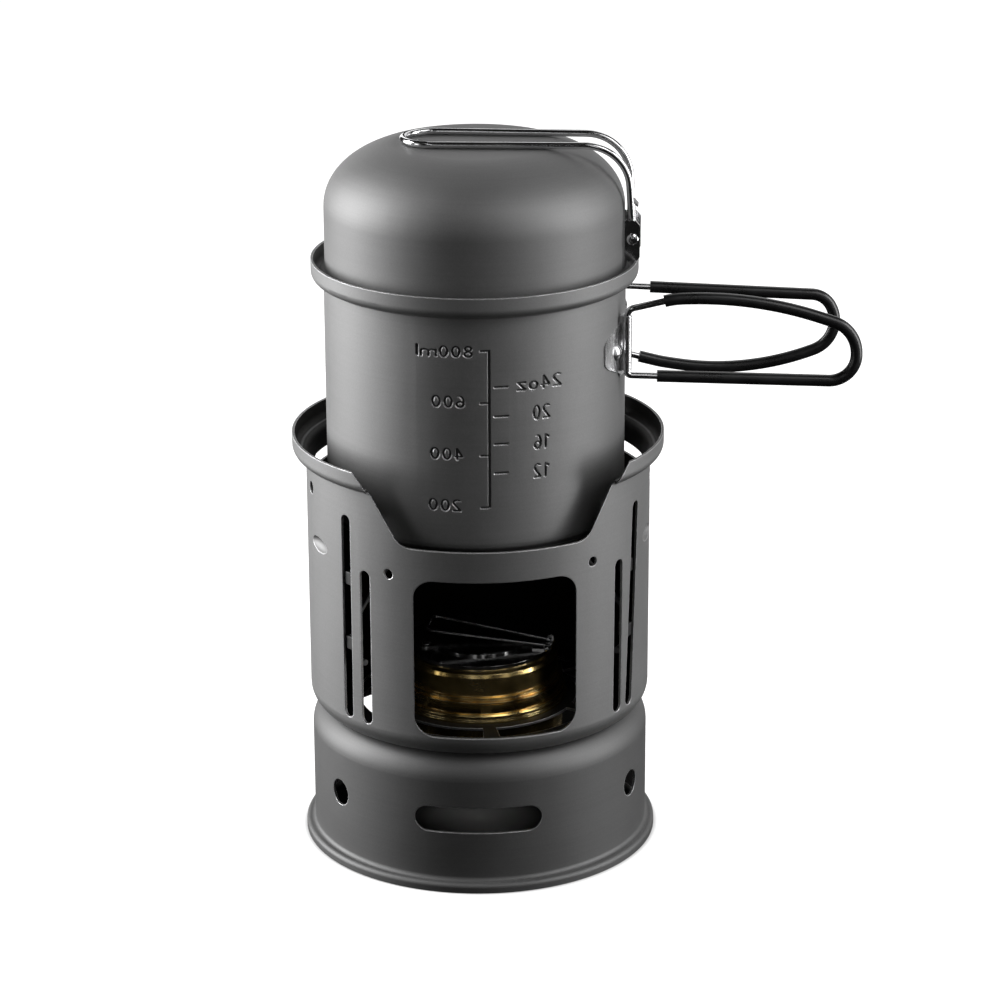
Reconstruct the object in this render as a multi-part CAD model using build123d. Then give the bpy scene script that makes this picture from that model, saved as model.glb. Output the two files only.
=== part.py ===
from build123d import *
import os
from math import atan2, cos, tan, radians, pi

# Alcohol spirit stove cook set: a base, a windshield that carries the burner
# and three folding pot supports, a graduated pot and a pan that is its lid.
# Millimetres, +Z up, origin at the centre of the base's foot plane.
# Azimuth 0 is the front (-Y) and azimuth 90 is the handle side (+X).

os.makedirs("parts", exist_ok=True)

# ---- driving dimensions -------------------------------------------------
SHEET = 1.0            # wall of the spun aluminium pieces

BASE_R = 66.7          # base wall, outside
BASE_FOOT_R = 70.2     # turned-out foot of the base
BASE_TOP_Z = 55.0      # plane where the windshield stands on the base
BASE_CORNER = 10.0
BASE_HOLE_R = 48.9     # collar that the burner hangs through
BASE_COLLAR_Z = 49.0
BASE_SLOT_Z = 29.1
BASE_SLOT_H = 10.5
BASE_SLOT_L = 49.0
BASE_HOLE_D = 10.6
BASE_HOLE_AZ = (-55.3, 62.6, 183.5)
BASE_SLOT_AZ = (-0.7, 119.0, 241.0)

SHIELD_R = 67.2        # windshield wall, outside
SHIELD_RIM_R = 72.5
SHIELD_TOP_Z = 167.0
SHIELD_CORNER = 8.0
SHIELD_HOLE_R = 33.7   # seat that the burner's lip rests on
SHIELD_TURN = 5.6      # the windshield's front faces this azimuth
VENT_R = (39.0, 48.0)
VENT_WEB = 6.0
VENT_COUNT = 6
SHELF_AZ = 72.0        # pressed shelves
SLOT_W = 5.1
SLOT_BOTTOM_Z = 63.6
# azimuth, top height and lean to the right of each upright slot
UPRIGHT_SLOTS = ((-54.4, 146.5, 0.0), (-45.8, 126.4, 0.0), (47.1, 126.4, 0.6), (56.1, 146.5, 3.4))
# azimuth, height and diameter of each small hole
SHIELD_HOLES = ((-36.3, 127.5, 4.0), (34.4, 129.7, 4.0), (-79.0, 149.0, 5.0), (79.0, 149.0, 5.0))

POT_R = 58.0           # pot wall, outside
POT_BOTTOM_Z = 132.0
POT_CORNER = 7.0
POT_TOP_Z = 236.3
POT_RIM_R = 62.9
POT_X = -0.9           # the pot stands this far off the base's axis

LID_R = 57.5
LID_SEAT_Z = 229.3
LID_RIM_R = 59.5
LID_TOP_Z = 280.3
LID_DOME_Z = 256.0       # the dome starts here
LID_FLAT_R = 29.0

RIM_RISE = 8.0         # height of the turned-out rims

BURNER_R = 31.4        # burner's upper band
BURNER_SEAT_Z = 56.0
BURNER_BOTTOM_Z = 34.0
BURNER_TOP_Z = 76.0

WIRE_D = 2.5           # pot handle and pot support wire
HANDLE_Z = 204.9       # middle height of the pot bracket
BRACKET_H = 23.7
BARREL_H = 21.8
BARREL_SHIFT = 1.4     # each barrel leaves room for its wire's tight bend
PIVOT_NEAR = (57.9, -19.5)
PIVOT_FAR = (55.5, 25.3)
SLEEVE_D = 4.6

LID_WIRE_D = 2.7
LID_PIVOT = (60.6, 245.3)
LID_TURN = -4.0        # the lid bracket stands at azimuth 86

SUPPORT_LEG_R = 63.6
SUPPORT_AZ = (-48.6, 61.7, 185.6)
SUPPORT_ARM_Z = 130.5
SUPPORT_FOOT_Z = 87.0
SUPPORT_CLIP_Z = (94.0, 120.5)


# ---- helpers ------------------------------------------------------------
def write(name, shape):
    shape.label = name
    export_step(shape, "parts/" + name + ".step")


def at(az, shape):
    # turn a shape that was made at the front (-Y) to an azimuth
    return Rot(0, 0, az) * shape


def spun(face):
    # turn a face drawn as (radius, height) about +Z
    return revolve(Plane.XZ * face, axis=Axis.Z)


def sheet_face(points, radii, side=Side.LEFT):
    # a sheet of even thickness that follows a path of lines and arcs
    path = Wire(FilletPolyline(*points, radius=radii).edges())
    return make_face(path.offset_2d(SHEET, side=side, closed=True).edges())


def profile(points):
    return make_face(Polyline(*points, close=True).edges())


def radial_cylinder(d, r0, r1, z):
    # a cylinder that points outwards at the front
    length = r1 - r0
    return Pos(0, -(r0 + r1) / 2, z) * Rot(90, 0, 0) * Cylinder(d / 2, length)


def front_prism(sketch, y0, y1):
    # a sketch drawn as (x, z), pushed through the wall from y0 out to y1
    return extrude(Plane((0, y0, 0), x_dir=(1, 0, 0), z_dir=(0, -1, 0)) * sketch, y0 - y1)


def ring_sector(r0, r1, z0, z1, az, arc):
    face = Plane.XZ * (Pos((r0 + r1) / 2, (z0 + z1) / 2) * Rectangle(r1 - r0, z1 - z0))
    return Rot(0, 0, az - 90 - arc / 2) * revolve(face, axis=Axis.Z, revolution_arc=arc)


def tube(d, r_in, z0, z1):
    solid = Pos(0, 0, (z0 + z1) / 2) * Cylinder(d / 2, z1 - z0)
    return solid - Pos(0, 0, (z0 + z1) / 2) * Cylinder(r_in, z1 - z0 + 1)


def smooth_path(points, radii):
    # straight runs joined by tangent arcs, one radius for each corner
    pts = [Vector(*p) if isinstance(p, tuple) else p for p in points]
    edges = []
    last = pts[0]
    for i, radius in enumerate(radii):
        a, b, c = pts[i], pts[i + 1], pts[i + 2]
        u = (a - b).normalized()
        v = (c - b).normalized()
        turn = pi - radians(u.get_angle(v))
        reach = radius * tan(turn / 2)
        mid = b + (u + v).normalized() * (radius / cos(turn / 2) - radius)
        p = b + u * reach
        q = b + v * reach
        if (p - last).length > 0.001:
            edges.append(Edge.make_line(last, p))
        edges.append(Edge.make_three_point_arc(p, mid, q))
        last = q
    edges.append(Edge.make_line(last, pts[-1]))
    return Wire(edges)


def bent_rod(d, points, radii):
    # a round rod of straight runs joined by tangent arcs
    path = smooth_path(points, radii)
    start = path @ 0
    return sweep(Plane(start, z_dir=path % 0) * Circle(d / 2), path=path)


def rounded_rod_end(d, x, y, z):
    return Pos(x, y, z) * Sphere(d / 2)


# ---- base ---------------------------------------------------------------
def make_base():
    path = [(BASE_FOOT_R, 0), (BASE_FOOT_R, 3.75), (BASE_R, 3.75), (BASE_R, BASE_TOP_Z)]
    path += [(BASE_HOLE_R, BASE_TOP_Z), (BASE_HOLE_R, BASE_COLLAR_Z)]
    shell = spun(sheet_face(path, [1.7, 1.7, BASE_CORNER, 1.6]))
    slot = front_prism(Pos(0, BASE_SLOT_Z) * SlotOverall(BASE_SLOT_L, BASE_SLOT_H), -40, -90)
    for az in BASE_SLOT_AZ:
        shell = shell - at(az, slot)
    for az in BASE_HOLE_AZ:
        shell = shell - at(az, radial_cylinder(BASE_HOLE_D, 55, 80, 28.9))
    return shell


# ---- windshield ---------------------------------------------------------
def shield_slots():
    cuts = []
    for az, top, lean in UPRIGHT_SLOTS:
        length = top - SLOT_BOTTOM_Z
        slot = Pos(0, (top + SLOT_BOTTOM_Z) / 2) * Rot(0, 0, 90 - lean) * SlotOverall(length, SLOT_W)
        cuts.append(at(az, front_prism(slot, -60, -75)))
    return cuts


def rear_slot(az0, az1):
    # a level slot with round ends, between two azimuths
    z = 148.4
    h = 4.8
    end = h / 2 / SHIELD_R * 180 / pi
    arc = az1 - az0 - 2 * end
    cut = ring_sector(60, 70, z - h / 2, z + h / 2, (az0 + az1) / 2, arc)
    for az in (az0 + end, az1 - end):
        cut = cut + at(az, radial_cylinder(h, 60, 72, z))
    return cut


def spindle(a, b):
    # an ellipsoid of revolution about X
    half = Ellipse(a, b) & Pos(0, b) * Rectangle(3 * a, 2 * b)
    return revolve(half, axis=Axis.X)


def pressed_shelf(solid, az):
    # an oval dimple pressed into the wall
    centre = Pos(0, -(SHIELD_R + 1.3), 128.3)
    bump = centre * spindle(9.8, 4.2)
    recess = centre * spindle(8.8, 3.2)
    inside = Pos(0, 0, 128.3) * Cylinder(SHIELD_R - 0.5, 20)
    return solid + at(az, bump & inside) - at(az, recess)


def make_shield():
    path = [(SHIELD_HOLE_R, BASE_TOP_Z), (SHIELD_R, BASE_TOP_Z)]
    path += [(SHIELD_R, SHIELD_TOP_Z - RIM_RISE), (SHIELD_RIM_R, SHIELD_TOP_Z - RIM_RISE)]
    path += [(SHIELD_RIM_R, SHIELD_TOP_Z)]
    shell = spun(sheet_face(path, [SHIELD_CORNER, 1.6, 3.5]))
    for az in (SHELF_AZ, -SHELF_AZ):
        shell = pressed_shelf(shell, az)
    window = Pos(0.2, 95.25) * RectangleRounded(62, 63.5, 7.5)
    shell = shell - front_prism(window, -40, -80)
    side = [(53.6, 168.6), (45.5, 157.3), (35.6, 139.0)]
    outline = side + [(-x, z) for x, z in reversed(side)]
    edges = FilletPolyline(*outline, radius=[3, 7, 7, 3]).edges()
    notch = make_face(edges + Line(outline[-1], outline[0]).edges())
    shell = shell - front_prism(notch, -30, -90)
    for cut in shield_slots():
        shell = shell - cut
    for az, z, d in SHIELD_HOLES:
        shell = shell - at(az, radial_cylinder(d, 60, 72, z))
    shell = shell - rear_slot(95.6, 121.5)
    shell = shell - rear_slot(-134.0, -108.2)
    step = 360 / VENT_COUNT
    web = VENT_WEB / sum(VENT_R) * 2 * 180 / pi
    for i in range(VENT_COUNT):
        shell = shell - ring_sector(VENT_R[0], VENT_R[1], 50, 60, (i + 0.5) * step, step - web)
    for i in range(3):
        # tongues turned down inside the base's collar
        shell = shell + ring_sector(48.0, 48.55, 50.5, 55.5, (2 * i + 0.5) * step, 9)
    return at(SHIELD_TURN, shell)


def make_support_clips():
    # two clips for each pot support, spot-welded to the inside of the wall
    clips = []
    for az in SUPPORT_AZ:
        for z in SUPPORT_CLIP_Z:
            eye = Pos(0, -SUPPORT_LEG_R, z) * Cylinder(2.0, 5)
            foot = Pos(0, -(SUPPORT_LEG_R + 1.35), z) * Box(4.4, 2.5, 5)
            clip = eye + (foot & Pos(0, 0, z) * Cylinder(SHIELD_R - SHEET, 10))
            clip = clip - Pos(0, -SUPPORT_LEG_R, z) * Cylinder(WIRE_D / 2 + 0.05, 9)
            clips.append(at(az, clip))
    return Compound(children=clips)


def make_support(az, side):
    # leg, arm with a step that centres the pot, and a brace; side is where
    # the foot tail points
    r = SUPPORT_LEG_R
    z = SUPPORT_ARM_Z
    foot = SUPPORT_FOOT_Z
    main = [(6 * side, -r, foot), (0, -r, foot), (0, -r, 136), (0, -(r - 4.3), 136)]
    main += [(0, -(r - 4.9), z), (0, -(r - 28), z)]
    rod = bent_rod(WIRE_D, main, [2.2, 1.9, 1.6, 1.6])
    rod = rod + rounded_rod_end(WIRE_D, 0, -(r - 28), z)
    brace = [(0, -(r - 25.5), z), (0, -(r - 0.2), 103)]
    down = Vector(*brace[1]) - Vector(*brace[0])
    rod = rod + sweep(Plane(brace[0], z_dir=down) * Circle(1.0), path=Line(*brace))
    return at(az, rod)


# ---- burner -------------------------------------------------------------
def make_burner_tank():
    s = BURNER_SEAT_Z
    outer = [(0, BURNER_BOTTOM_Z), (29.5, BURNER_BOTTOM_Z), (32.2, 35.2), (33.2, 38), (33.2, s), (35.0, s)]
    outer += [(35.0, s + 0.9), (34.4, s + 1.4), (34.4, s + 2.7), (33.9, s + 3.3), (33.0, s + 3.5)]
    outer += [(33.0, s + 7.2), (33.4, s + 7.6), (33.4, s + 8.2), (32.2, s + 8.6), (32.2, s + 9.0)]
    outer += [(32.6, s + 9.3), (32.6, s + 9.8), (BURNER_R, s + 10.2), (BURNER_R, 73.6), (30.9, 75.0)]
    outer += [(29.4, BURNER_TOP_Z), (27.0, BURNER_TOP_Z)]
    inner = [(27.0, BURNER_TOP_Z - 1.2), (29.2, 74.6), (BURNER_R - 1.2, 73.0), (BURNER_R - 1.2, 37.0)]
    inner += [(29.0, BURNER_BOTTOM_Z + 1.2), (0, BURNER_BOTTOM_Z + 1.2)]
    return spun(profile(outer + inner))


def make_burner_inner():
    # jet ring with the inner wall of the fuel well, open at the bottom
    pts = [(21.0, 75.0), (27.0, 75.0), (27.0, 76.0), (20.0, 76.0), (20.0, 37.0), (21.0, 37.0)]
    ring = spun(profile(pts))
    for i in range(24):
        ring = ring - at(i * 15, Pos(0, -24, 75.5) * Cylinder(0.7, 4))
    for i in range(3):
        ring = ring - at(60 + i * 120, Pos(0, -20.5, 38) * Box(6, 4, 4))
    return ring


def make_burner_wick():
    return spun(profile([(21.3, 35.6), (28.6, 35.6), (29.9, 37.4), (29.9, 68), (21.3, 68)]))


# ---- simmer ring --------------------------------------------------------
RING_Z = 76.9
HINGE_X = 27.6
HINGE_Y = -7.2
HINGE_Z = 79.1
HINGE_TURN = -8.6      # the wire handle points this far off the -X direction
SHUTTER_PIVOT_R = 22.0
SHUTTER_TURN = 103.3


def hinge_place(shape):
    # from the hinge's own frame, with its pin along Y, to its place on the ring
    return Pos(HINGE_X, HINGE_Y, 0) * Rot(0, 0, HINGE_TURN) * shape


def shutter_place(shape):
    # from a pivot that lies on +Y to its place on the ring
    return Rot(0, 0, SHUTTER_TURN) * shape


def make_simmer_ring():
    pts = [(17.0, RING_Z), (28.0, RING_Z), (28.0, BURNER_TOP_Z), (28.8, BURNER_TOP_Z)]
    pts += [(28.8, RING_Z + 0.8), (17.0, RING_Z + 0.8)]
    ring = spun(profile(pts))
    for i in range(3):
        # tongues turned down into the fuel well
        ring = ring + ring_sector(18.4, 19.2, 71.0, RING_Z + 0.4, 60 + i * 120, 24)
    return ring - shutter_place(Pos(0, SHUTTER_PIVOT_R, 77.3) * Cylinder(1.25, 4))


def make_simmer_lug():
    z = RING_Z + 0.8
    lug = Pos(-2.5, 0, z + 0.3) * Box(7.0, 10.6, 0.6)
    ear = extrude(Plane.XZ * (Pos(0, HINGE_Z) * Circle(1.5)), 0.3, both=True)
    web = Pos(0, 0, (z + HINGE_Z) / 2) * Box(3.0, 0.6, HINGE_Z - z)
    for y in (-5.0, 5.0):
        lug = lug + Pos(0, y, 0) * (ear + web)
    return hinge_place(lug - Pos(0, 0, HINGE_Z) * Rot(90, 0, 0) * Cylinder(0.75, 20))


def make_shutter():
    z = RING_Z + 0.85
    r = SHUTTER_PIVOT_R
    plate = Pos(0, 0, z + 0.35) * Cylinder(18.5, 0.7)
    plate = plate + Pos(0, r - 3.0, z + 0.35) * Box(8.0, 6.0, 0.7) + Pos(0, r, z + 0.35) * Cylinder(4.0, 0.7)
    return shutter_place(plate - Pos(0, r, z) * Cylinder(1.3, 6))


def make_shutter_rivet():
    z = RING_Z + 0.85 + 0.7
    shank = Pos(0, 0, (z + 0.1 + 76.4) / 2) * Cylinder(1.2, z + 0.1 - 76.4)
    ball = Pos(0, 0, z + 0.1 + 1.2 - 3.0) * Sphere(3.0)
    head = ball & Pos(0, 0, z + 1.1) * Cylinder(3.0, 2.0)
    tail = Pos(0, 0, 76.55) * Cylinder(2.0, 0.6)
    return shutter_place(Pos(0, SHUTTER_PIVOT_R, 0) * (shank + head + tail))


def make_simmer_handle():
    z = HINGE_Z
    pts = [(0, -6.6, z), (0, -3.3, z), (-48.1, -8.0, 85.2)]
    pts = pts + [(x, -y, h) for x, y, h in reversed(pts)]
    rod = bent_rod(1.4, pts, [1.2, 3.0, 3.0, 1.2])
    for y in (-6.6, 6.6):
        rod = rod + rounded_rod_end(2.4, 0, y, z)
    return hinge_place(rod)


# ---- pot ----------------------------------------------------------------
def stroke(x0, z0, x1, z1, w):
    # a straight stroke with round ends
    a = Vector(x0, z0)
    b = Vector(x1, z1)
    return SlotCenterPoint((a + b) * 0.5, b, w)


def oval(cx, cz, a, b, w):
    return Pos(cx, cz) * (Ellipse(a, b) - Ellipse(a - w, b - w))


def digit(ch, h, w):
    # plain strokes, drawn in a box that is one high and 0.56 wide
    s = 0.56 * h
    a = s / 2
    t = h / 2
    if ch == "0":
        return oval(0, 0, a, t, w)
    if ch == "1":
        x = 0.05 * h
        return stroke(x, -t + w / 2, x, t - w / 2, w) + stroke(-a * 0.6, t * 0.55, x, t - w / 2, w)
    if ch == "2":
        top = oval(0, t - a, a, a, w) - Pos(-a, t - 1.6 * a) * Rectangle(2 * a, 2 * a)
        top = top - Pos(0, t - 2.2 * a) * Rectangle(3 * a, 1.6 * a)
        base = stroke(-a + w / 2, -t + w / 2, a - w / 2, -t + w / 2, w)
        return top + base + stroke(a * 0.72, t - 1.3 * a, -a + w / 2, -t + w / 2, w)
    if ch == "4":
        x = a * 0.35
        bar = stroke(-a + w / 2, -t * 0.42, a - w / 2, -t * 0.42, w)
        stem = stroke(x, -t + w / 2, x, t - w / 2, w)
        return bar + stem + stroke(x, t - w / 2, -a + w / 2, -t * 0.42, w)
    if ch == "6":
        bowl = oval(0, -t + a * 1.05, a, a * 1.05, w)
        back = oval(0, 0, a, t, w) - Pos(a, 0) * Rectangle(2 * a, 3 * t)
        hook = oval(0, 0, a, t, w) - Pos(0, -t * 0.45) * Rectangle(4 * a, 2.5 * t)
        return bowl + back + hook
    if ch == "8":
        return oval(0, t * 0.47, a * 0.9, t * 0.53, w) + oval(0, -t * 0.45, a, t * 0.55, w)
    return None


def letter(ch, h, w):
    t = h / 2
    x = 0.68 * h
    m = -t + x / 2
    a = 0.29 * h
    if ch == "l":
        return stroke(0, -t + w / 2, 0, t - w / 2, w)
    if ch == "o":
        return oval(0, m, a, x / 2, w)
    if ch == "z":
        top = stroke(-a + w / 2, -t + x - w / 2, a - w / 2, -t + x - w / 2, w)
        base = stroke(-a + w / 2, -t + w / 2, a - w / 2, -t + w / 2, w)
        return top + base + stroke(a - w / 2, -t + x - w / 2, -a + w / 2, -t + w / 2, w)
    if ch == "m":
        body = stroke(-0.42 * h, -t + w / 2, -0.42 * h, -t + x - w / 2, w)
        for cx in (-0.21 * h, 0.21 * h):
            arch = oval(cx, -t + x * 0.6, 0.21 * h + w / 2, x * 0.4, w)
            body = body + (arch - Pos(cx, -t + x * 0.6 - x) * Rectangle(h, 2 * x))
            body = body + stroke(cx + 0.21 * h, -t + w / 2, cx + 0.21 * h, -t + x * 0.6, w)
        return body
    return None


ADVANCE = {"m": 1.02, "l": 0.26, "o": 0.70, "z": 0.66, "1": 0.52}


def label(text, h, wide, cx, cz):
    # numerals that read correctly from inside the pot, spread out by a factor
    w = 0.16 * h
    widths = [ADVANCE.get(ch, 0.70) * h * wide for ch in text]
    total = sum(widths)
    u = -total / 2
    marks = None
    for ch, adv in zip(text, widths):
        glyph = digit(ch, h, w) or letter(ch, h, w)
        glyph = Pos(u + adv / 2, 0) * scale(glyph, by=(wide, 1, 1))
        marks = glyph if marks is None else marks + glyph
        u = u + adv
    return Pos(cx, cz) * mirror(marks, about=Plane.YZ)


def graduations():
    # scale line, ticks and numerals of the pot's two volume scales
    marks = [Pos(1.1, 184.5) * Rectangle(1.05, 61.8)]
    for z in (215.0, 194.8, 174.3, 153.8):
        marks.append(Pos(-0.8, z) * Rectangle(3.2, 0.9))
    for z in (200.9, 189.5, 178.7, 167.3):
        marks.append(Pos(5.6, z) * SlotOverall(5.8, 0.9))
    marks.append(label("800ml", 4.7, 1.36, -15.2, 214.7))
    marks.append(label("600", 4.9, 1.28, -14.1, 195.3))
    marks.append(label("400", 4.9, 1.28, -14.7, 174.9))
    marks.append(label("200", 4.9, 1.28, -15.5, 154.6))
    marks.append(label("24oz", 5.4, 1.22, 20.2, 201.4))
    marks.append(label("20", 5.9, 0.93, 20.9, 189.8))
    marks.append(label("16", 5.9, 0.93, 20.8, 178.1))
    marks.append(label("12", 5.9, 0.93, 20.8, 166.8))
    return marks


def rivet_seats(azimuths_heights, d):
    return [at(az, radial_cylinder(d, 50, 70, z)) for az, z in azimuths_heights]


POT_RIVETS = ((67.0, 203.8), (119.0, 203.8), (93.0, 207.5))


def make_pot():
    path = [(0, POT_BOTTOM_Z), (POT_R, POT_BOTTOM_Z), (POT_R, POT_TOP_Z - RIM_RISE)]
    path += [(POT_RIM_R, POT_TOP_Z - RIM_RISE), (POT_RIM_R, POT_TOP_Z)]
    shell = spun(sheet_face(path, [POT_CORNER, 1.2, 3.4]))
    for hole in rivet_seats(POT_RIVETS, 3.0):
        shell = shell - hole
    band = tube(2 * POT_R + 4, POT_R - 0.42, 140, 225)
    cuts = None
    for mark in graduations():
        bar = at(4.0, front_prism(mark, -44, -64))
        cuts = bar if cuts is None else cuts + bar
    shell = shell - (cuts & band)
    return Pos(POT_X, 0, 0) * shell


def ear_outline(az, side):
    # tapered end of the bracket, as a prism that points outwards
    pts = [(7.6, 10.3), (-9.2, 5.4), (-9.2, -4.8), (7.6, -12.4)]
    pts = [(side * x, HANDLE_Z + max(z, -BRACKET_H / 2)) for x, z in pts]
    edges = FilletPolyline(*pts, radius=[4.2, 4.2]).edges() + Line(pts[-1], pts[0]).edges()
    return at(az, front_prism(make_face(edges), -50, -70))


def barrel_web(x, y, z):
    # flat web that runs from a barrel towards the pot's axis
    turn = atan2(y, x) * 180 / pi
    return Pos(x, y, z) * Rot(0, 0, turn) * Pos(-1.5, 0, 0) * Box(3.0, 1.8, BARREL_H)


def make_pot_bracket():
    low = HANDLE_Z - BRACKET_H / 2
    high = HANDLE_Z + BRACKET_H / 2
    plate = ring_sector(POT_R, POT_R + 0.6, low, high, 93, 43.8)
    band = ring_sector(POT_R, POT_R + 0.6, low, high, 93, 84)
    for az, side in ((66.0, 1), (120.0, -1)):
        plate = plate + (band & ear_outline(az, side))
    for hole in rivet_seats(POT_RIVETS, 3.0):
        plate = plate - hole
    barrels = (PIVOT_NEAR + (HANDLE_Z + BARREL_SHIFT,), PIVOT_FAR + (HANDLE_Z - BARREL_SHIFT,))
    wall = Pos(0, 0, HANDLE_Z) * Cylinder(POT_R + 0.02, 60)
    for x, y, z in barrels:
        plate = plate + (barrel_web(x, y, z) - wall) + Pos(x, y, z) * Cylinder(1.75, BARREL_H)
    for x, y, z in barrels:
        plate = plate - Pos(x, y, z) * Cylinder(WIRE_D / 2 + 0.05, BRACKET_H + 2)
    return Pos(POT_X, 0, 0) * plate


def make_rivet(shank_d, r_in, r_out, head_d, head_h, z):
    # a domed rivet through a wall, at the front
    shank = radial_cylinder(shank_d, r_in - 0.2, r_out + 0.2, z)
    tail = radial_cylinder(shank_d + 2.0, r_in - 0.78, r_in - 0.08, z)
    ball_r = (head_d ** 2 / 4 + head_h ** 2) / (2 * head_h)
    dome = Pos(0, -(r_out + head_h - ball_r), z) * Sphere(ball_r)
    dome = dome & radial_cylinder(head_d + 1, r_out, r_out + head_h + 1, z)
    return shank + tail + dome


def make_pot_rivets():
    rivets = []
    for az, z in POT_RIVETS:
        rivets.append(Pos(POT_X, 0, 0) * at(az, make_rivet(3.0, POT_R - SHEET, POT_R + 0.6, 6.6, 1.7, z)))
    return Compound(children=rivets)


# (reach, height) of each loop's corners; the wire's two ends meet inside the barrel
NEAR_LOOP = [(0, 1.4), (0, 14.8), (18.0, 18.9), (49.5, 19.3)]
NEAR_LOOP += [(87.1, 6.5), (88.0, -14.3), (0, -11.2), (0, -1.4)]
NEAR_BENDS = [3.0, 38.0, 146.0, 13.3, 10.1, 1.6]
FAR_LOOP = [(0, 1.4), (0, 14.8), (17.8, 19.4), (51.8, 24.8)]
FAR_LOOP += [(91.2, 9.9), (82.1, -7.5), (0, -11.9), (0, -1.4)]
FAR_BENDS = [3.0, 60.0, 104.0, 12.5, 9.0, 1.6]


def loop_point(pivot, point, flip):
    # from (reach, height) to the assembly; the far handle hangs the other way up
    height = -point[1] if flip else point[1]
    return (pivot[0] + point[0] + POT_X, pivot[1], HANDLE_Z + height)


def make_handle_wire(pivot, loop, bends, flip):
    path = [loop_point(pivot, p, flip) for p in loop]
    return bent_rod(WIRE_D, path, bends)


def between(a, b, reach):
    # the point of the line from a to b at this reach
    return (reach, a[1] + (b[1] - a[1]) * (reach - a[0]) / (b[0] - a[0]))


def make_handle_sleeve(pivot, loop, bends, flip, start, end):
    # one sleeve over the loop, from start on the bent side to end on the straight side
    run = [between(loop[1], loop[2], start)] + loop[2:6] + [between(loop[5], loop[6], end)]
    path = [loop_point(pivot, p, flip) for p in run]
    route = smooth_path(path, bends[1:5])
    plane = Plane(route @ 0, z_dir=route % 0)
    skin = sweep(plane * Circle(SLEEVE_D / 2), path=route)
    return skin - sweep(plane * Circle(WIRE_D / 2), path=route)


# ---- lid ----------------------------------------------------------------
def make_lid():
    # a domed pan, turned over, whose rim sits on the step inside the pot's rim
    rim = [(LID_RIM_R, LID_SEAT_Z), (LID_RIM_R, 232.5), (LID_R, 232.5), (LID_R, LID_DOME_Z)]
    in_rim = [(r - SHEET, z if z in (LID_SEAT_Z, LID_DOME_Z) else z - SHEET) for r, z in rim]
    outer_low = FilletPolyline(*rim, radius=[1.3, 0.6])
    inner_low = FilletPolyline(*in_rim, radius=[0.3, 1.6])
    knee = (LID_FLAT_R + 8.5, LID_TOP_Z)
    outer = Bezier((LID_R, LID_DOME_Z), (LID_R, LID_DOME_Z + 17.1), knee, (LID_FLAT_R, LID_TOP_Z))
    offset_pts = []
    for i in range(1, 12):
        t = outer % (i / 12)
        offset_pts.append(outer @ (i / 12) + Vector(-t.Y, t.X) * SHEET)
    under = (LID_FLAT_R, LID_TOP_Z - SHEET)
    inner = Spline((LID_R - SHEET, LID_DOME_Z), *offset_pts, under, tangents=[(0, 1), (-1, 0)])
    edges = outer_low.edges() + outer.edges() + Line((LID_FLAT_R, LID_TOP_Z), (0, LID_TOP_Z)).edges()
    edges += Line((0, LID_TOP_Z), (0, LID_TOP_Z - SHEET)).edges()
    edges += Line((0, LID_TOP_Z - SHEET), under).edges()
    edges += inner.edges() + inner_low.edges() + Line(rim[0], in_rim[0]).edges()
    shell = spun(make_face(edges))
    for y in (-3.4, 3.4):
        shell = shell - Rot(0, 0, LID_TURN) * Pos(58, y, 237.2) * Rot(0, 90, 0) * Cylinder(1.1, 8)
    return Pos(POT_X, 0, 0) * shell


def lid_place(shape):
    return Pos(POT_X, 0, 0) * Rot(0, 0, LID_TURN) * shape


def make_lid_bracket():
    body = ring_sector(LID_R, LID_R + 0.8, 233.9, 252.5, 90, 17.4)
    pts = [(57.1, 237.0), (62.6, 237.0), (63.4, 238.4), (63.4, 250.6), (61.8, 252.5), (57.1, 252.5)]
    cheek = profile(pts)
    for y in (-8.0, 8.0):
        body = body + Pos(0, y, 0) * extrude(Plane.XZ * cheek, 0.4, both=True)
    body = body - Pos(LID_PIVOT[0], 0, LID_PIVOT[1]) * Rot(90, 0, 0) * Cylinder(LID_WIRE_D / 2 + 0.05, 30)
    for y in (-3.4, 3.4):
        body = body - Pos(58, y, 237.2) * Rot(0, 90, 0) * Cylinder(1.1, 8)
    return lid_place(body)


def make_lid_rivets():
    rivets = []
    for y in (-3.4, 3.4):
        shank = Pos(57.5, y, 237.2) * Rot(0, 90, 0) * Cylinder(1.1, 2.6)
        head = Pos(59.0, y, 237.2) * scale(Sphere(1), by=(1.1, 2.0, 2.0))
        head = head & Pos(60.3, y, 237.2) * Box(3.0, 6, 6)
        tail = Pos(55.75, y, 237.2) * Rot(0, 90, 0) * Cylinder(1.9, 0.9)
        rivets.append(lid_place(shank + head + tail))
    return Compound(children=rivets)


def make_lid_tab():
    # spring tab between the handle's wires
    side = [(58.35, 241.5), (58.35, 258.2), (60.7, 259.1), (62.6, 256.9)]
    path = Wire(FilletPolyline(*side, radius=[0.9, 1.2]).edges())
    face = make_face(path.offset_2d(0.6, side=Side.RIGHT, closed=True).edges())
    return lid_place(extrude(Plane.XZ * face, 2.9, both=True))


def make_lid_handle():
    x = LID_PIVOT[0]
    z = LID_PIVOT[1]
    top = LID_TOP_Z + LID_WIRE_D / 2 + 0.1
    half = [(x, -9.6, z), (x, -5.0, z), (58.4, -10.0, top), (-26.9, -11.8, top)]
    pts = half + [(a, -b, c) for a, b, c in reversed(half)]
    rod = bent_rod(LID_WIRE_D, pts, [1.9, 17.0, 11.7, 11.7, 17.0, 1.9])
    for side in (-1, 1):
        # the peened ends outside the bracket's cheeks
        ball = Pos(x, side * (9.8 - 3.2), z) * Sphere(3.2)
        rod = rod + (ball & Pos(x, side * 9.5, z) * Rot(90, 0, 0) * Cylinder(2.2, 2.0))
    return lid_place(rod)


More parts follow.
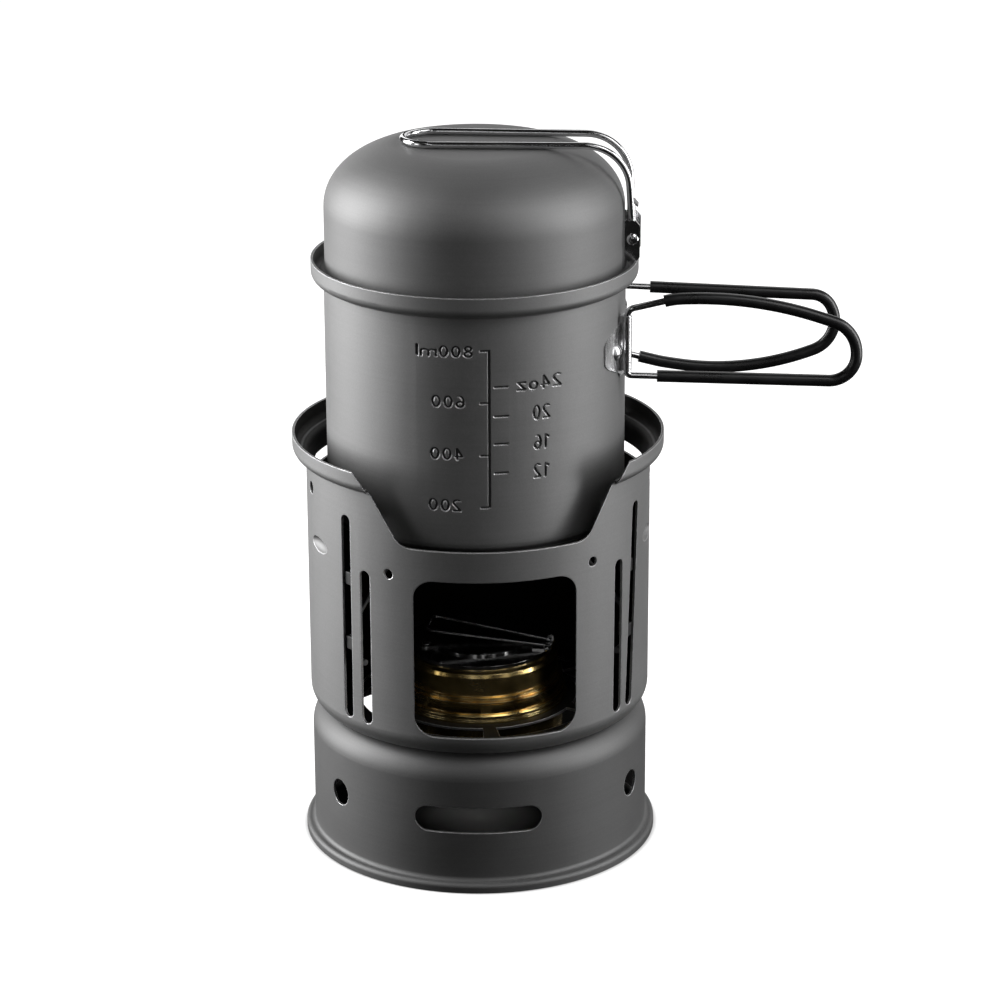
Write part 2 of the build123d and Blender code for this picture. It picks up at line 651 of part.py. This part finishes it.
# ---- write every piece --------------------------------------------------
write("base_shell", make_base())
write("windshield_shell", make_shield())
write("support_clips", make_support_clips())
write("pot_support_left", make_support(SUPPORT_AZ[0], 1))
write("pot_support_right", make_support(SUPPORT_AZ[1], -1))
write("pot_support_rear", make_support(SUPPORT_AZ[2], 1))
write("burner_tank", make_burner_tank())
write("burner_jet_ring", make_burner_inner())
write("burner_wick", make_burner_wick())
write("simmer_ring", make_simmer_ring())
write("simmer_handle_lug", make_simmer_lug())
write("simmer_shutter", make_shutter())
write("simmer_shutter_rivet", make_shutter_rivet())
write("simmer_handle", make_simmer_handle())
write("pot_shell", make_pot())
write("pot_bracket", make_pot_bracket())
write("pot_bracket_rivets", make_pot_rivets())
write("near_handle_wire", make_handle_wire(PIVOT_NEAR, NEAR_LOOP, NEAR_BENDS, False))
write("near_handle_sleeve", make_handle_sleeve(PIVOT_NEAR, NEAR_LOOP, NEAR_BENDS, False, 14.0, 11.5))
write("far_handle_wire", make_handle_wire(PIVOT_FAR, FAR_LOOP, FAR_BENDS, True))
write("far_handle_sleeve", make_handle_sleeve(PIVOT_FAR, FAR_LOOP, FAR_BENDS, True, 9.2, 13.3))
write("lid_shell", make_lid())
write("lid_bracket", make_lid_bracket())
write("lid_bracket_rivets", make_lid_rivets())
write("lid_stop_tab", make_lid_tab())
write("lid_handle_wire", make_lid_handle())
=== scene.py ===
import math

import bpy
from mathutils import Matrix, Vector


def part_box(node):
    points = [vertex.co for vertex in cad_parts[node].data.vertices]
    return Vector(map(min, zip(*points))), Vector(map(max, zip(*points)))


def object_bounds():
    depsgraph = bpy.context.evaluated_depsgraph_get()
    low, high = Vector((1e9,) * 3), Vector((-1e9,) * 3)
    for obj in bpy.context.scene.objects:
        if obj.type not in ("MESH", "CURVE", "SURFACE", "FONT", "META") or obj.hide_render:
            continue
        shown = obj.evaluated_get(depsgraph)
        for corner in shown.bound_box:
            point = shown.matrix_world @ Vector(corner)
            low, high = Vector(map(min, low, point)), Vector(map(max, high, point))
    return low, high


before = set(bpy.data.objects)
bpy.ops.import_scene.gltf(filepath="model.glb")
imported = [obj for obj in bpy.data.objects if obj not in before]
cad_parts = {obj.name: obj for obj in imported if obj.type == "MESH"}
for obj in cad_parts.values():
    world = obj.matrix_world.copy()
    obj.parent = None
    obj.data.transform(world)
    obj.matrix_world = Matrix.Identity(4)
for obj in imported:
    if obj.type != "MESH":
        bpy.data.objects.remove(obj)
cad_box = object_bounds()

# ---- places on the object, in metres ---------------------------------------
TONGUE_TO_FLOOR = 0.0055     # from the windshield's lowest point up to the top of its floor
FLOOR_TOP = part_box("windshield_shell")[0][2] + TONGUE_TO_FLOOR
POT_WALL = 0.058             # outer radius of the pot's straight wall
MARKS_LOW = 0.129            # the pot's pressed marks lie between these heights
MARKS_HIGH = 0.227
FADE = 0.001                 # half of the height over which the marked zone fades out
WICK_CHAR = (0.055, 0.068)   # the wick turns dark between these heights
FOOT_R = 0.070               # outer radius of the base's foot
TABLE_Z = cad_box[0][2]

pot_low, pot_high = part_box("pot_shell")
POT_AXIS = ((pot_low[0] + pot_high[0]) / 2, (pot_low[1] + pot_high[1]) / 2)

# ---- colours, linear -------------------------------------------------------
WORN_AND_HIGHLIT_EDGE = (0.82, 0.82, 0.83)
# painted shade for the inner sides of the walls and the windshield's floor
INSIDE_SHADE = (0.045, 0.044, 0.043)
BRASS_TONES = ((0.28, (0.60, 0.41, 0.13)), (0.50, (0.84, 0.62, 0.25)), (0.75, (0.90, 0.70, 0.34)))
WORN_BRASS = (0.96, 0.82, 0.50)
WORN_STEEL = (0.85, 0.85, 0.85)
WICK_TONES = ((0.1, (0.62, 0.58, 0.50)), (0.7, (0.36, 0.33, 0.28)))
CHAR = (0.05, 0.045, 0.04)
RUBBER_TONES = ((0.3, (0.006, 0.006, 0.006)), (0.7, (0.014, 0.014, 0.015)))


def grey(value):
    return (value, value, value)


# ---- node helpers ----------------------------------------------------------
class Tree:
    """One material's node tree, with short calls for the nodes used here."""

    def __init__(self, name):
        self.material = bpy.data.materials.new(name)
        self.material.use_nodes = True
        self.nodes = self.material.node_tree.nodes
        self.links = self.material.node_tree.links
        self.shader = self.nodes["Principled BSDF"]
        self.place = self.nodes.new("ShaderNodeTexCoord").outputs["Object"]

    def put(self, socket, value):
        """Link a node's output, or set a number, a vector or a colour."""
        if hasattr(value, "links"):
            self.links.new(value, socket)
        elif socket.type == "RGBA":
            socket.default_value = (*value, 1.0)
        else:
            socket.default_value = value

    def stretched(self, scale):
        node = self.nodes.new("ShaderNodeMapping")
        self.put(node.inputs["Vector"], self.place)
        self.put(node.inputs["Scale"], scale)
        return node.outputs["Vector"]

    def noise(self, scale, detail=2.0, rough=0.5, vector=None):
        node = self.nodes.new("ShaderNodeTexNoise")
        self.put(node.inputs["Vector"], vector or self.place)
        self.put(node.inputs["Scale"], scale)
        self.put(node.inputs["Detail"], detail)
        self.put(node.inputs["Roughness"], rough)
        return node.outputs["Fac"]

    def voronoi(self, scale, vector):
        node = self.nodes.new("ShaderNodeTexVoronoi")
        self.put(node.inputs["Vector"], vector)
        self.put(node.inputs["Scale"], scale)
        return node.outputs["Distance"]

    def axis(self, index, vector=None):
        node = self.nodes.new("ShaderNodeSeparateXYZ")
        self.put(node.inputs[0], vector or self.place)
        return node.outputs[index]

    def math(self, kind, a, b=0.0):
        node = self.nodes.new("ShaderNodeMath")
        node.operation = kind
        self.put(node.inputs[0], a)
        self.put(node.inputs[1], b)
        return node.outputs[0]

    def add(self, a, b):
        return self.math("ADD", a, b)

    def subtract(self, a, b):
        return self.math("SUBTRACT", a, b)

    def times(self, a, b):
        return self.math("MULTIPLY", a, b)

    def radius(self, centre=(0, 0)):
        """Distance from an upright axis."""
        x = self.subtract(self.axis(0), centre[0])
        y = self.subtract(self.axis(1), centre[1])
        return self.math("SQRT", self.add(self.times(x, x), self.times(y, y)))

    def vector(self, x, y, z):
        node = self.nodes.new("ShaderNodeCombineXYZ")
        for socket, value in zip(node.inputs, (x, y, z)):
            self.put(socket, value)
        return node.outputs[0]

    def turned(self, scale, detail, rough):
        """Noise that runs round the axis in lines, as a spun or turned surface has."""
        across = self.times(self.radius(), scale)
        return self.noise(1, detail, rough, self.vector(across, 0.0, self.times(self.axis(2), scale)))

    def span(self, value, low, high, to_low, to_high):
        """Value from low..high onto to_low..to_high, clamped."""
        node = self.nodes.new("ShaderNodeMapRange")
        self.put(node.inputs["Value"], value)
        self.put(node.inputs["From Min"], low)
        self.put(node.inputs["From Max"], high)
        self.put(node.inputs["To Min"], to_low)
        self.put(node.inputs["To Max"], to_high)
        return node.outputs["Result"]

    def rise(self, value, low, high):
        return self.span(value, low, high, 0.0, 1.0)

    def ramp(self, value, stops):
        node = self.nodes.new("ShaderNodeValToRGB")
        self.put(node.inputs["Fac"], value)
        ramp = node.color_ramp
        while len(ramp.elements) < len(stops):
            ramp.elements.new(0.5)
        for element, (at, colour) in zip(ramp.elements, stops):
            element.position = at
            element.color = (*colour, 1.0)
        return node.outputs["Color"]

    def mix(self, fac, a, b):
        node = self.nodes.new("ShaderNodeMix")
        node.data_type = "RGBA"
        self.put(node.inputs[0], fac)
        self.put(node.inputs[6], a)
        self.put(node.inputs[7], b)
        return node.outputs[2]

    def bump(self, height, strength, distance, normal=None):
        node = self.nodes.new("ShaderNodeBump")
        self.put(node.inputs["Strength"], strength)
        self.put(node.inputs["Distance"], distance)
        self.put(node.inputs["Height"], height)
        if normal is not None:
            self.put(node.inputs["Normal"], normal)
        return node.outputs["Normal"]

    def true_normal(self):
        return self.nodes.new("ShaderNodeNewGeometry").outputs["Normal"]

    def soft_edge(self, radius):
        """The normal with rounded edges, and how much of an edge each point is."""
        node = self.nodes.new("ShaderNodeBevel")
        node.samples = 4
        self.put(node.inputs["Radius"], radius)
        dot = self.nodes.new("ShaderNodeVectorMath")
        dot.operation = "DOT_PRODUCT"
        self.put(dot.inputs[0], node.outputs["Normal"])
        self.put(dot.inputs[1], self.true_normal())
        return node.outputs["Normal"], self.rise(dot.outputs["Value"], 0.995, 0.86)

    def faces_inward(self):
        """1 on a wall's inner side and on the windshield's floor, 0 on the outside: where the painted
        inside shade goes.
        """
        normal = self.true_normal()
        x = self.times(self.axis(0), self.axis(0, normal))
        y = self.times(self.axis(1), self.axis(1, normal))
        outwards = self.math("DIVIDE", self.add(x, y), self.radius())
        wall = self.rise(outwards, -0.05, -0.25)
        off_floor = self.math("ABSOLUTE", self.subtract(self.axis(2), FLOOR_TOP))
        level = self.span(off_floor, 0.0003, 0.0005, 1.0, 0.0)
        up = self.rise(self.axis(2, normal), 0.6, 0.8)
        return self.math("MAXIMUM", wall, self.times(level, up))

    def marked_zone(self):
        """1 on the heights of the pot's pressed marks."""
        above = self.rise(self.axis(2), MARKS_LOW - FADE, MARKS_LOW + FADE)
        below = self.span(self.axis(2), MARKS_HIGH - FADE, MARKS_HIGH + FADE, 1.0, 0.0)
        return self.times(above, below)

    def groove(self):
        """1 inside the pressed marks, by how far the surface lies behind the pot's wall."""
        depth = self.subtract(POT_WALL, self.radius(POT_AXIS))
        below_wall = self.rise(depth, 0.0001, 0.0003)
        above_inside = self.span(depth, 0.0007, 0.0008, 1.0, 0.0)
        return self.times(below_wall, above_inside)

    def finish(self, colour, roughness, normal, **constants):
        self.put(self.shader.inputs["Base Color"], colour)
        self.put(self.shader.inputs["Roughness"], roughness)
        self.put(self.shader.inputs["Normal"], normal)
        for name, value in constants.items():
            self.shader.inputs[name.replace("_", " ")].default_value = value
        return self.material


# ---- materials -------------------------------------------------------------
def anodised(name, shade, rough=0.65, painted_inside_shade=False, marked=False, wear_and_highlight_amount=1.0):
    """Hard-anodised spun aluminium: fine grain, faint lines round the axis, edges rubbed bright with a
    painted edge highlight.
    A wall with painted inside shade is darkened on the side that faces inwards. A marked wall has painted
    shade in its grooves, and there only the edges that face up are made bright, as a painted highlight."""
    t = Tree(name)
    grain = t.noise(1700, 3, 0.7)
    cloud = t.noise(26, 4, 0.6)
    spun = t.turned(700, 3, 0.65)
    edge_normal, edge = t.soft_edge(0.0005)
    tone = t.add(t.times(grain, 0.50), t.times(cloud, 0.35))
    tone = t.add(tone, t.times(spun, 0.15))
    body = t.ramp(tone, ((0.30, grey(shade * 0.84)), (0.50, grey(shade)), (0.70, grey(shade * 1.18))))
    # painted shade on the inner sides and on the windshield's floor
    if painted_inside_shade:
        body = t.mix(t.faces_inward(), body, INSIDE_SHADE)
    # bright edges: partly real wear, partly a painted edge highlight
    wear_and_highlight = t.times(edge, t.span(t.noise(420, 3, 0.6), 0.35, 0.65, 0.55 * wear_and_highlight_amount, wear_and_highlight_amount))
    if marked:
        zone = t.marked_zone()
        # painted shade in the pressed grooves
        body = t.mix(t.times(zone, t.groove()), body, grey(shade * 0.35))
        # in the marked zone only the edges that face up keep the bright edge: a painted highlight from
        # above
        faces_up = t.rise(t.axis(2, edge_normal), -0.02, 0.10)
        wear_and_highlight = t.times(wear_and_highlight, t.math("MAXIMUM", faces_up, t.subtract(1.0, zone)))
    colour = t.mix(wear_and_highlight, body, WORN_AND_HIGHLIT_EDGE)
    r = t.add(t.span(cloud, 0.3, 0.7, rough - 0.02, rough + 0.03), t.span(grain, 0.3, 0.7, -0.03, 0.03))
    r = t.subtract(r, t.times(wear_and_highlight, 0.15))
    normal = t.bump(spun, 0.05, 0.00004, t.bump(grain, 0.30, 0.00006, edge_normal))
    return t.finish(colour, r, normal, Metallic=1.0)


def bright_steel(name, along, rough=0.12, shade=0.74):
    """Stainless steel with drawn lines along one axis."""
    t = Tree(name)
    scale = [2600.0, 2600.0, 2600.0]
    scale["XYZ".index(along)] = 90.0
    lines = t.noise(1, 3, 0.6, t.stretched(scale))
    smudge = t.noise(60, 4, 0.6)
    dull = (shade * 0.90, shade * 0.90, shade * 0.91)
    colour = t.ramp(smudge, ((0.3, dull), (0.7, (shade, shade, shade * 1.01))))
    r = t.add(t.span(smudge, 0.3, 0.7, rough - 0.02, rough + 0.05), t.span(lines, 0.3, 0.7, -0.02, 0.04))
    return t.finish(colour, r, t.bump(lines, 0.12, 0.00003), Metallic=1.0)


def sheet_steel(name, shade=0.50, rough=0.09):
    """Rolled stainless sheet with fine scratches and a faint heat tint."""
    t = Tree(name)
    edge_normal, edge = t.soft_edge(0.0002)
    lines = t.noise(1, 3, 0.6, t.stretched((3000.0, 160.0, 3000.0)))
    cloud = t.noise(70, 4, 0.6)
    dull = (shade * 0.82, shade * 0.80, shade * 0.78)
    heated = (shade, shade * 0.95, shade * 0.84)
    body = t.ramp(cloud, ((0.3, dull), (0.6, grey(shade)), (0.8, heated)))
    colour = t.mix(t.times(edge, 0.5), body, WORN_STEEL)
    r = t.add(t.span(cloud, 0.3, 0.7, rough - 0.03, rough + 0.08), t.span(lines, 0.3, 0.7, -0.02, 0.05))
    return t.finish(colour, r, t.bump(lines, 0.15, 0.00003, edge_normal), Metallic=1.0)


def brass(name):
    """Turned brass: fine bands round the axis and a slight tarnish."""
    t = Tree(name)
    edge_normal, edge = t.soft_edge(0.0003)
    bands = t.turned(2600, 3, 0.7)
    cloud = t.noise(60, 4, 0.6)
    colour = t.mix(t.times(edge, 0.6), t.ramp(cloud, BRASS_TONES), WORN_BRASS)
    r = t.add(t.span(cloud, 0.3, 0.7, 0.16, 0.27), t.span(bands, 0.3, 0.7, -0.03, 0.05))
    return t.finish(colour, r, t.bump(bands, 0.25, 0.00004, edge_normal), Metallic=1.0)


def sleeve(name):
    """Black silicone tube: satin skin with faint mould marks."""
    t = Tree(name)
    grain = t.noise(1900, 3, 0.6)
    cloud = t.noise(90, 3, 0.6)
    r = t.add(t.span(cloud, 0.3, 0.7, 0.24, 0.34), t.span(grain, 0.3, 0.7, -0.02, 0.04))
    return t.finish(t.ramp(cloud, RUBBER_TONES), r, t.bump(grain, 0.12, 0.00005), IOR=1.5)


def wick(name):
    """Woven wick cord, charred at the top."""
    t = Tree(name)
    weave = t.voronoi(1100, t.stretched((1.0, 1.0, 0.5)))
    char = t.span(t.axis(2), *WICK_CHAR, 0.0, 0.8)
    colour = t.mix(char, t.ramp(weave, WICK_TONES), CHAR)
    return t.finish(colour, t.span(weave, 0.0, 1.0, 0.85, 0.98), t.bump(weave, 0.8, 0.0003))


# each look, and the CAD nodes that wear it
LOOKS = (
    (anodised("hard_anodised", 0.25, marked=True), ("pot_shell",)),
    # lid: a darker copy of the same anodised look, as painted shade
    (anodised("hard_anodised_lid", 0.215), ("lid_shell",)),
    # windshield wall: painted shade on its inner side and floor
    (anodised("hard_anodised_wall", 0.25, painted_inside_shade=True), ("windshield_shell",)),
    # base: a darker copy of the same anodised look as painted shade, with painted inside shade as well
    (anodised("hard_anodised_base", 0.165, painted_inside_shade=True), ("base_shell",)),
    # clips: darkened to near black as painted shade, with little bright edge
    (anodised("hard_anodised_clip", 0.07, 0.60, wear_and_highlight_amount=0.12), ("support_clips",)),
    (bright_steel("drawn_wire_x", "X"),
     ("near_handle_wire", "far_handle_wire", "lid_handle_wire", "simmer_handle")),
    # pot supports: steel darkened as painted shade
    (bright_steel("painted_shade_wire_z", "Z", 0.36, 0.09),
     ("pot_support_left", "pot_support_right", "pot_support_rear")),
    (bright_steel("polished_sheet", "Z", 0.25, 0.72), ("pot_bracket", "pot_bracket_rivets")),
    (bright_steel("polished_strap", "Z", 0.14, 0.70), ("lid_bracket", "lid_bracket_rivets")),
    (bright_steel("dark_spring", "Z", 0.30, 0.10), ("lid_stop_tab",)),
    (sheet_steel("rolled_sheet"),
     ("simmer_ring", "simmer_handle_lug", "simmer_shutter", "simmer_shutter_rivet")),
    (brass("turned_brass"), ("burner_tank", "burner_jet_ring")),
    (sleeve("black_sleeve"), ("near_handle_sleeve", "far_handle_sleeve")),
    (wick("wick_cord"), ("burner_wick",)),
)
for material, names in LOOKS:
    for name in names:
        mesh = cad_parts[name].data
        mesh.materials.clear()
        mesh.materials.append(material)


# ---- floor, light and camera -----------------------------------------------
FLOOR_SIZE = 12
FLOOR_TONES = ((0.3, grey(0.34)), (0.7, grey(0.36)))
UNDER_SHADOW_TONES = ((0.0, grey(0.34)), (0.35, grey(0.02)), (0.95, grey(0.01)))    # painted shadow under the base, out to the foot
LAMP_DISTANCE = 1.2
LAMP_AIM = Vector((0, 0, 0.14))
# name, azimuth, elevation, width, height, watts, tilt about the line to the object
LAMPS = (
    ("left_rear", -165, 10, 0.35, 1.3, 2.4, 0),
    ("left", -108, 14, 0.35, 1.3, 18.0, 0),
    ("left_front", -92, 14, 0.35, 1.3, 15.6, 0),
    ("front", 42, 10, 0.35, 1.3, 0.75, 0),
    ("front_strip", 9, 34, 0.10, 1.0, 0.30, 0),
    ("left_strip", -17, 30, 0.11, 1.0, 0.36, 27),
    ("right", 76, 14, 0.35, 1.3, 12.2, 0),
    ("right_rear", 92, 14, 0.35, 1.3, 3.8, 0),
    ("rear_right", 130, 6, 0.50, 1.3, 1.2, 0),
    ("rear", 160, 10, 0.50, 1.3, 2.0, 0),
    ("high_front", 45, 50, 0.60, 0.5, 2.5, 0),
    ("high_rear", 165, 50, 0.60, 0.5, 1.2, 0),
    ("low_left_strip", -60, 4, 0.30, 0.9, 1.4, 0),
)
SEEN_LIGHT = 1.0             # backdrop as the camera sees it
CAST_LIGHT = 0.01            # backdrop as a light source
CAMERA_AT = (0, -1.2331, 0.5679)
CAMERA_LENS = 119.67
CAMERA_SENSOR = 36.0
CAMERA_PITCH = 19.276        # degrees down
CAMERA_YAW = 0.394           # degrees to the right
CAMERA_ROLL = -0.225


def make_floor():
    """Pale floor that glows evenly bright up to the foot, with a painted shadow inside it."""
    bpy.ops.mesh.primitive_plane_add(size=FLOOR_SIZE, location=(0, 0, TABLE_Z))
    floor = bpy.context.object
    floor.name = "floor"
    t = Tree("pale_floor")
    cloud = t.noise(3, 3, 0.5)
    under = t.ramp(t.math("DIVIDE", t.radius(), FOOT_R), UNDER_SHADOW_TONES)
    outside = t.rise(t.radius(), FOOT_R - 0.004, FOOT_R - 0.001)
    colour = t.mix(outside, under, t.ramp(cloud, FLOOR_TONES))
    t.put(t.shader.inputs["Emission Color"], grey(1))
    # the glow fades to nothing at the foot: a painted contact shadow
    t.put(t.shader.inputs["Emission Strength"], t.rise(t.radius(), FOOT_R - 0.001, FOOT_R + 0.0025))
    rough = t.span(cloud, 0.3, 0.7, 0.75, 0.85)
    floor.data.materials.append(t.finish(colour, rough, t.bump(cloud, 0.02, 0.001), Specular_IOR_Level=0.1))
    floor.visible_glossy = False
    floor.visible_diffuse = False


def softbox(name, azimuth, elevation, width, height, watts, tilt):
    """A rectangular lamp that faces the object; azimuth 0 is the front, 90 the +X side."""
    light = bpy.data.lights.new(name, "AREA")
    light.shape = "RECTANGLE"
    light.size = width
    light.size_y = height
    light.energy = watts
    lamp = bpy.data.objects.new(name, light)
    bpy.context.scene.collection.objects.link(lamp)
    a, e = math.radians(azimuth), math.radians(elevation)
    towards = Vector((math.sin(a) * math.cos(e), -math.cos(a) * math.cos(e), math.sin(e)))
    lamp.location = LAMP_AIM + LAMP_DISTANCE * towards
    lamp.rotation_euler = (LAMP_AIM - lamp.location).to_track_quat("-Z", "Y").to_euler()
    lamp.rotation_euler.rotate_axis("Z", math.radians(tilt))


def make_world():
    """A white backdrop for the camera that casts almost no light."""
    world = bpy.data.worlds.new("studio")
    bpy.context.scene.world = world
    world.use_nodes = True
    tree = world.node_tree
    seen = tree.nodes["Background"]
    seen.inputs["Color"].default_value = (1, 1, 1, 1)
    seen.inputs["Strength"].default_value = SEEN_LIGHT
    cast = tree.nodes.new("ShaderNodeBackground")
    cast.inputs["Color"].default_value = (1, 1, 1, 1)
    cast.inputs["Strength"].default_value = CAST_LIGHT
    path = tree.nodes.new("ShaderNodeLightPath")
    pick = tree.nodes.new("ShaderNodeMixShader")
    tree.links.new(path.outputs["Is Camera Ray"], pick.inputs[0])
    tree.links.new(cast.outputs[0], pick.inputs[1])
    tree.links.new(seen.outputs[0], pick.inputs[2])
    tree.links.new(pick.outputs[0], tree.nodes["World Output"].inputs[0])


def make_camera():
    data = bpy.data.cameras.new("camera")
    data.lens = CAMERA_LENS
    data.sensor_width = CAMERA_SENSOR
    data.dof.use_dof = False
    data.clip_end = 50
    camera = bpy.data.objects.new("camera", data)
    bpy.context.scene.collection.objects.link(camera)
    pitch, yaw, roll = (math.radians(v) for v in (CAMERA_PITCH, CAMERA_YAW, CAMERA_ROLL))
    forward = Vector((math.sin(yaw) * math.cos(pitch), math.cos(yaw) * math.cos(pitch), -math.sin(pitch)))
    level = Vector((math.cos(yaw), -math.sin(yaw), 0))
    upright = level.cross(forward)
    right = math.cos(roll) * level + math.sin(roll) * upright
    up = math.cos(roll) * upright - math.sin(roll) * level
    turn = Matrix((right, up, -forward)).transposed().to_4x4()
    camera.matrix_world = Matrix.Translation(CAMERA_AT) @ turn
    bpy.context.scene.camera = camera


make_floor()
for lamp in LAMPS:
    softbox(*lamp)
make_world()
make_camera()
bpy.context.scene.view_settings.view_transform = "Standard"
bpy.context.scene.cycles.use_denoising = True
